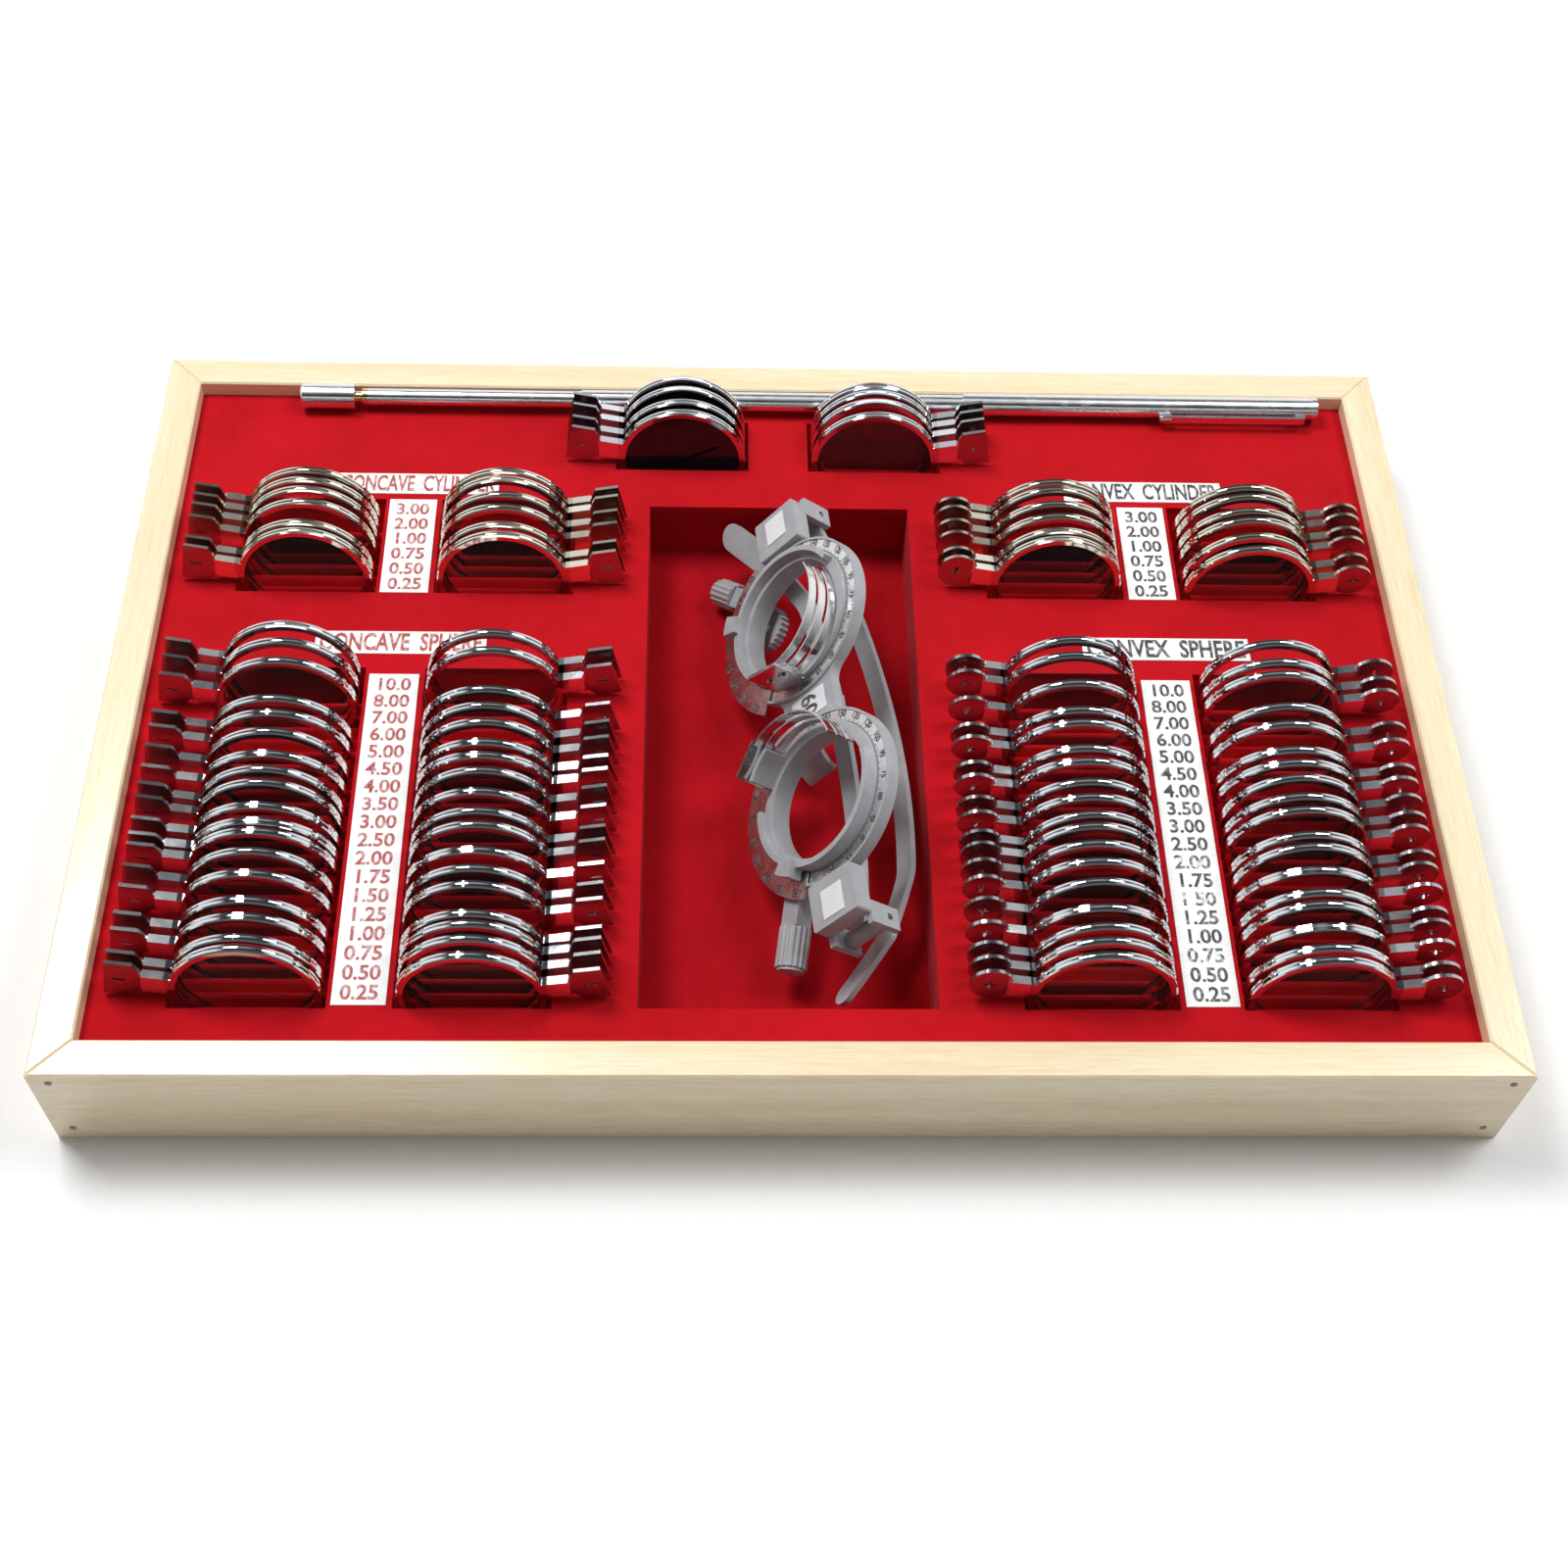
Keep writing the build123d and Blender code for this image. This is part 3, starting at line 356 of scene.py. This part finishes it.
for name, look in LOOKS.items():
    node = nodes[name]
    node.data.materials.clear()
    node.data.materials.append(look)
    if name in SOFT_EDGES:
        soften = node.modifiers.new("soft_edges", "BEVEL")
        soften.width = SOFT_EDGES[name] * MM
        soften.segments = 3
        soften.limit_method = "ANGLE"
        soften.angle_limit = SMOOTH_ANGLE
        soften.harden_normals = False

# ---------------------------------------------------------------- helpers for new pieces


def new_piece(name, mesh_or_curve, material, body):
    """Link an object, give it its material and let it ride on a body."""
    piece = bpy.data.objects.new(name, mesh_or_curve)
    bpy.context.scene.collection.objects.link(piece)
    piece.data.materials.append(material)
    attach(piece, body)
    return piece


CAPITAL_HEIGHT = 0.70


def text_mesh(line, height, width_factor=1.0, weight=0.0):
    """One centred line of flat lettering about the origin, capitals height metres tall."""
    curve = bpy.data.curves.new("lettering", "FONT")
    curve.body = line
    curve.size = height / CAPITAL_HEIGHT
    curve.align_x = "CENTER"
    curve.align_y = "CENTER"
    curve.offset = weight
    curve.resolution_u = 3
    holder = bpy.data.objects.new("lettering", curve)
    bpy.context.scene.collection.objects.link(holder)
    bpy.context.view_layer.update()
    depsgraph = bpy.context.evaluated_depsgraph_get()
    mesh = bpy.data.meshes.new_from_object(holder.evaluated_get(depsgraph))
    bpy.data.objects.remove(holder)
    bpy.data.curves.remove(curve)
    mesh.transform(Matrix.Diagonal((width_factor, 1, 1, 1)))
    return mesh


def finished_mesh(name, work):
    """A mesh from a bmesh, which is freed."""
    mesh = bpy.data.meshes.new(name)
    work.to_mesh(mesh)
    work.free()
    return mesh


def joined(name, meshes):
    """One mesh out of several."""
    work = bmesh.new()
    for mesh in meshes:
        work.from_mesh(mesh)
    return finished_mesh(name, work)


# ---------------------------------------------------------------- velvet inserts

POCKET_X = 40.0
RACK_WALL = 1.5
GROOVE_PITCH = 4.2
GROOVE_FROM_FRONT = 2.5
RACK_BOTTOM = 4.0
RIDGE_TOP = 21.6
GROOVE_BOTTOM = 13.0
WALL_TOP = 27.4
STEPS_PER_RIDGE = 10
RIDGE_FULLNESS = 0.55
SHARP_ANGLE = math.radians(60)


def ridge_height(y, front, count):
    """Height of the padded insert at y: round ribs between the grooves, level at both ends."""
    phase = (y - front - GROOVE_FROM_FRONT) / GROOVE_PITCH
    inside = min(max(phase, 0.0), count - 1)
    wave = 0.5 - 0.5 * math.cos(TWO_PI * inside)
    return GROOVE_BOTTOM + (RIDGE_TOP - GROOVE_BOTTOM) * wave ** RIDGE_FULLNESS


def add_block(work, low, high):
    """A plain block into a bmesh, corners in mm."""
    outline = ((low[0], low[1]), (high[0], low[1]), (high[0], high[1]), (low[0], high[1]))
    corners = [work.verts.new(Vector((x, y, z)) * MM) for z in (low[2], high[2])
               for x, y in outline]
    for face in ((0, 3, 2, 1), (4, 5, 6, 7), (0, 1, 5, 4),
                 (1, 2, 6, 5), (2, 3, 7, 6), (3, 0, 4, 7)):
        work.faces.new([corners[i] for i in face])


def insert_mesh(work, centre_x, front, back, count):
    """One pocket's ribbed insert: a closed corrugated block between four soft walls."""
    left = centre_x - POCKET_X / 2
    right = centre_x + POCKET_X / 2
    rows = int((back - front) / GROOVE_PITCH * STEPS_PER_RIDGE)
    top = []
    bottom = []
    for row in range(rows + 1):
        y = front + (back - front) * row / rows
        z = ridge_height(y, front, count)
        top.append([work.verts.new(Vector((x, y, z)) * MM) for x in (left, right)])
        bottom.append([work.verts.new(Vector((x, y, RACK_BOTTOM)) * MM) for x in (left, right)])
    for row in range(rows):
        (a, b), (c, d) = top[row], top[row + 1]
        (e, f), (g, h) = bottom[row], bottom[row + 1]
        for face in ((a, b, d, c), (e, g, h, f), (a, c, g, e), (b, f, h, d)):
            work.faces.new(face)
    work.faces.new((top[0][0], bottom[0][0], bottom[0][1], top[0][1]))
    work.faces.new((top[-1][0], top[-1][1], bottom[-1][1], bottom[-1][0]))
    for low, high in (((left - RACK_WALL, front - RACK_WALL), (left, back + RACK_WALL)),
                      ((right, front - RACK_WALL), (right + RACK_WALL, back + RACK_WALL)),
                      ((left, front - RACK_WALL), (right, front)),
                      ((left, back), (right, back + RACK_WALL))):
        add_block(work, (*low, RACK_BOTTOM), (*high, WALL_TOP))


def velvet_inserts(node, centres):
    """The inserts that stand in for one CAD node, laid out from that node's own box."""
    low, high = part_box(node)
    front = low.y / MM + RACK_WALL
    back = high.y / MM - RACK_WALL
    count = int((back - front - GROOVE_FROM_FRONT) / GROOVE_PITCH + 0.6)
    work = bmesh.new()
    for centre_x in centres:
        insert_mesh(work, centre_x, front, back, count)
    mesh = finished_mesh(f"{node}_velvet", work)
    mesh.shade_smooth()
    mesh.set_sharp_from_angle(angle=SHARP_ANGLE)
    # The inserts carry the velvet painted brighter, as painted light.
    piece = new_piece(f"{node}_velvet", mesh, VELVET_INSERT_PAINTED_LIGHT, "case")
    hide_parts(node)


COLUMN_OUTER = 136.5
COLUMN_INNER = 80.0
COLUMN_ACCESSORY = 29.0
FOUR_COLUMNS = (-COLUMN_OUTER, -COLUMN_INNER, COLUMN_INNER, COLUMN_OUTER)
velvet_inserts("sphere_racks", FOUR_COLUMNS)
velvet_inserts("cylinder_racks", FOUR_COLUMNS)
velvet_inserts("accessory_racks", (-COLUMN_ACCESSORY, COLUMN_ACCESSORY))

# ---------------------------------------------------------------- printed cards

PRINT_Z = 30.34
SPHERE_POWERS = ("10.0", "8.00", "7.00", "6.00", "5.00", "4.50", "4.00", "3.50", "3.00",
                 "2.50", "2.00", "1.75", "1.50", "1.25", "1.00", "0.75", "0.50", "0.25")
CYLINDER_POWERS = ("3.00", "2.00", "1.00", "0.75", "0.50", "0.25")
FADED_ROWS = {"2.00", "1.50", "0.75"}
POWER_X = 108.4
POWER_HEIGHT = 4.1
POWER_WIDTH = 0.98
POWER_WEIGHT = 0.00014
ROW_PITCH = 5.72
SPHERE_TOP_ROW = 0.8
CYLINDER_TOP_ROW = 65.7


def power_column(name, centre_x, top_y, powers, material, faded=()):
    """A column of lens powers on a card, one row for each pair of lenses."""
    rows = []
    worn = []
    for index, power in enumerate(powers):
        mesh = text_mesh(power, POWER_HEIGHT * MM, POWER_WIDTH, POWER_WEIGHT)
        place = Vector((centre_x, top_y - ROW_PITCH * index, PRINT_Z)) * MM
        mesh.transform(Matrix.Translation(place))
        (worn if power in faded else rows).append(mesh)
    new_piece(name, joined(name, rows), material, "case")
    if worn:
        new_piece(f"{name}_faded", joined(name, worn), FADED_INK, "case")


power_column("concave_sphere_powers", -POWER_X, SPHERE_TOP_ROW, SPHERE_POWERS, RED_INK)
power_column("convex_sphere_powers", POWER_X, SPHERE_TOP_ROW, SPHERE_POWERS, BLACK_INK,
             FADED_ROWS)
power_column("concave_cylinder_powers", -POWER_X, CYLINDER_TOP_ROW, CYLINDER_POWERS, RED_INK)
power_column("convex_cylinder_powers", POWER_X, CYLINDER_TOP_ROW, CYLINDER_POWERS, BLACK_INK)

HEADING_HEIGHT = 6.0
HEADING_WIDTH = 45.5
HEADING_WEIGHT = 0.00022
HEADING_LEFT = -107.6
HEADING_RIGHT = 110.0
SPHERE_HEADING_Y = 15.6
CYLINDER_HEADING_Y = 75.8


def heading(name, words, centre_x, centre_y, material):
    """A heading stretched to fill its card."""
    mesh = text_mesh(words, HEADING_HEIGHT * MM, weight=HEADING_WEIGHT)
    width = max(v.co.x for v in mesh.vertices) - min(v.co.x for v in mesh.vertices)
    mesh.transform(Matrix.Diagonal((HEADING_WIDTH * MM / width, 1, 1, 1)))
    mesh.transform(Matrix.Translation(Vector((centre_x, centre_y, PRINT_Z)) * MM))
    new_piece(name, mesh, material, "case")


for curvature, centre_x, colour in (("concave", HEADING_LEFT, RED_INK),
                                    ("convex", HEADING_RIGHT, BLACK_INK)):
    for shape, centre_y in (("sphere", SPHERE_HEADING_Y), ("cylinder", CYLINDER_HEADING_Y)):
        words = f"{curvature.upper()}  {shape.upper()}"
        heading(f"heading_{curvature}_{shape}", words, centre_x, centre_y, colour)

# ---------------------------------------------------------------- trial frame scales

# The trial frame's own axes as it lies in the well: along its eyes, up its face, out of its face.
FRAME_TILT = math.radians(50.0)
FRAME_TURN = math.radians(5.85)
FRAME_CENTRE = Vector((6.7, -12.2, 39.5)) * MM
EYE_X = 30.0
PUPIL_AXIS = Vector((math.sin(FRAME_TURN), -math.cos(FRAME_TURN), 0))
VIEW_AXIS = Vector((-math.sin(FRAME_TILT) * math.cos(FRAME_TURN),
                    -math.sin(FRAME_TILT) * math.sin(FRAME_TURN),
                    math.cos(FRAME_TILT)))
UP_AXIS = VIEW_AXIS.cross(PUPIL_AXIS)
FRAME_MATRIX = Matrix.Translation(FRAME_CENTRE) @ Matrix(
    (PUPIL_AXIS, UP_AXIS, VIEW_AXIS)).transposed().to_4x4()
# The upper half of each scale is printed on the ring, the lower half on a wider dial before it.
RING_SCALE = {"z": 0.48, "digits": 23.15, "size": 1.9, "ticks": 21.45, "tick": 0.75}
DIAL_SCALE = {"z": 1.28, "digits": 26.9, "size": 2.2, "ticks": 24.6, "tick": 0.9}
DIAL_SPANS = {-1: (205, 325), 1: (217, 337)}
DIGIT_STEP = 15
TICK_STEP = 5
TICK_HALF = 0.13
SHORT_TICK = 0.6
DIGIT_WIDTH = 0.82
DIGIT_WEIGHT = 0.00012
HALF_TURN = 180
FULL_TURN = 360


def on_scale(angle, dial_span):
    """Which of the two scales carries a mark at this angle, if either does."""
    if angle <= HALF_TURN:
        return RING_SCALE
    return DIAL_SCALE if dial_span[0] <= angle <= dial_span[1] else None


def scale_marks(name, side):
    """Degrees round one eye every fifteen, with a tick every five, as flat print on the plates."""
    eye_x = side * EYE_X
    meshes = []
    for angle in range(0, FULL_TURN, DIGIT_STEP):
        scale = on_scale(angle, DIAL_SPANS[side])
        if scale:
            mesh = text_mesh(str(angle % HALF_TURN or HALF_TURN), scale["size"] * MM,
                             DIGIT_WIDTH, DIGIT_WEIGHT)
            mesh.transform(Matrix.Translation(Vector((eye_x, 0, scale["z"])) * MM)
                           @ Matrix.Rotation(math.radians(angle), 4, "Z")
                           @ Matrix.Translation(Vector((scale["digits"], 0, 0)) * MM)
                           @ Matrix.Rotation(-math.pi / 2, 4, "Z"))
            meshes.append(mesh)
    work = bmesh.new()
    for angle in range(0, FULL_TURN, TICK_STEP):
        scale = on_scale(angle, DIAL_SPANS[side])
        if scale:
            turn = math.radians(angle)
            inner = scale["ticks"]
            outer = inner + scale["tick"] * (1.0 if angle % DIGIT_STEP == 0 else SHORT_TICK)
            corners = []
            for r, w in ((inner, -TICK_HALF), (outer, -TICK_HALF),
                         (outer, TICK_HALF), (inner, TICK_HALF)):
                corner = Vector((eye_x + r * math.cos(turn) - w * math.sin(turn),
                                 r * math.sin(turn) + w * math.cos(turn), scale["z"]))
                corners.append(work.verts.new(corner * MM))
            work.faces.new(corners)
    mesh = joined(name, meshes + [finished_mesh("ticks", work)])
    mesh.transform(FRAME_MATRIX)
    new_piece(name, mesh, BLACK_INK, "frame")


scale_marks("right_scale_print", -1)
scale_marks("left_scale_print", 1)

DISTANCE_HEIGHT = 5.6
DISTANCE_WIDTH = 0.9
DISTANCE_WEIGHT = 0.0002
DISTANCE_Z = 0.28
distance_print = text_mesh("60", DISTANCE_HEIGHT * MM, DISTANCE_WIDTH, DISTANCE_WEIGHT)
distance_print.transform(FRAME_MATRIX @ Matrix.Translation(Vector((0, 0, DISTANCE_Z)) * MM))
new_piece("pupil_distance_print", distance_print, BLACK_INK, "frame")

# ---------------------------------------------------------------- floor, light and camera

FLOOR_HALF = 3.0
floor_corners = [(-FLOOR_HALF, -FLOOR_HALF, 0), (FLOOR_HALF, -FLOOR_HALF, 0),
                 (FLOOR_HALF, FLOOR_HALF, 0), (-FLOOR_HALF, FLOOR_HALF, 0)]
floor_mesh = bpy.data.meshes.new("floor")
floor_mesh.from_pydata(floor_corners, [], [(0, 1, 2, 3)])
floor = bpy.data.objects.new("floor", floor_mesh)
bpy.context.scene.collection.objects.link(floor)
paper = plastic("studio_paper", (0.90, 0.90, 0.90), 0.8, 0.02, 0.01)
floor.data.materials.append(paper)

# The studio is bright round the horizon, dark higher up, lit again straight overhead, and dimmer
# on the viewer's side.
world = bpy.data.worlds.new("studio")
bpy.context.scene.world = world
world.use_nodes = True
sky = world.node_tree
coords = sky.nodes.new("ShaderNodeTexCoord")
split = sky.nodes.new("ShaderNodeSeparateXYZ")
sky.links.new(coords.outputs["Generated"], split.inputs[0])
HORIZON = (1.0, 1.0, 1.0)
DARK_BAND = (0.05, 0.05, 0.055)
height_bands = ramp(sky, split.outputs["Z"],
                    [(0.0, HORIZON), (0.30, (0.95, 0.96, 0.98)), (0.55, (0.80, 0.81, 0.83)),
                     (0.66, DARK_BAND), (0.90, DARK_BAND), (0.96, (0.6, 0.6, 0.62))])
front_dim = map_range(sky, split.outputs["Y"], 0.15, 1.15, -0.6, 0.3)
background = sky.nodes["Background"]
sky.links.new(height_bands, background.inputs["Color"])
sky.links.new(front_dim, background.inputs["Strength"])


def softbox(name, place, aim, width, height, power):
    """A rectangular studio light."""
    data = bpy.data.lights.new(name, "AREA")
    data.shape = "RECTANGLE"
    data.size = width
    data.size_y = height
    data.energy = power
    lamp = bpy.data.objects.new(name, data)
    bpy.context.scene.collection.objects.link(lamp)
    lamp.location = place
    lamp.rotation_euler = (Vector(aim) - Vector(place)).to_track_quat("-Z", "Y").to_euler()


softbox("key_light", (-0.45, 0.35, 1.1), (0, 0, 0), 0.5, 0.4, 11.0)
softbox("fill_light", (0.65, 0.15, 1.05), (0, 0, 0), 0.45, 0.4, 6.5)
softbox("front_strip", (0.0, -1.0, 0.75), (0, 0, 0), 1.6, 0.08, 0.9)

# The camera looks down from the front, a little to the left, at the photograph's framing.
CAMERA_PITCH = math.radians(55.54)
CAMERA_YAW = math.radians(3.92)
CAMERA_ROLL = math.radians(3.60)
CAMERA_DISTANCE = 0.5628
CAMERA_TARGET = Vector((-0.0004, -0.0350, 0.035))
SENSOR_WIDTH = 36.0
FOCAL_LENGTH = 48.1
NEAR_CLIP = 0.01
forward = Vector((math.sin(CAMERA_YAW) * math.cos(CAMERA_PITCH),
                  math.cos(CAMERA_YAW) * math.cos(CAMERA_PITCH),
                  -math.sin(CAMERA_PITCH)))
level = Vector((math.cos(CAMERA_YAW), -math.sin(CAMERA_YAW), 0))
above = level.cross(forward)
right = level * math.cos(CAMERA_ROLL) + above * math.sin(CAMERA_ROLL)
upward = above * math.cos(CAMERA_ROLL) - level * math.sin(CAMERA_ROLL)
camera_data = bpy.data.cameras.new("camera")
camera_data.sensor_width = SENSOR_WIDTH
camera_data.lens = FOCAL_LENGTH
camera_data.clip_start = NEAR_CLIP
camera = bpy.data.objects.new("camera", camera_data)
bpy.context.scene.collection.objects.link(camera)
turned = Matrix((right, upward, -forward)).transposed().to_4x4()
camera.matrix_world = Matrix.Translation(CAMERA_TARGET - forward * CAMERA_DISTANCE) @ turned
scene = bpy.context.scene
scene.camera = camera
scene.view_settings.view_transform = "Standard"
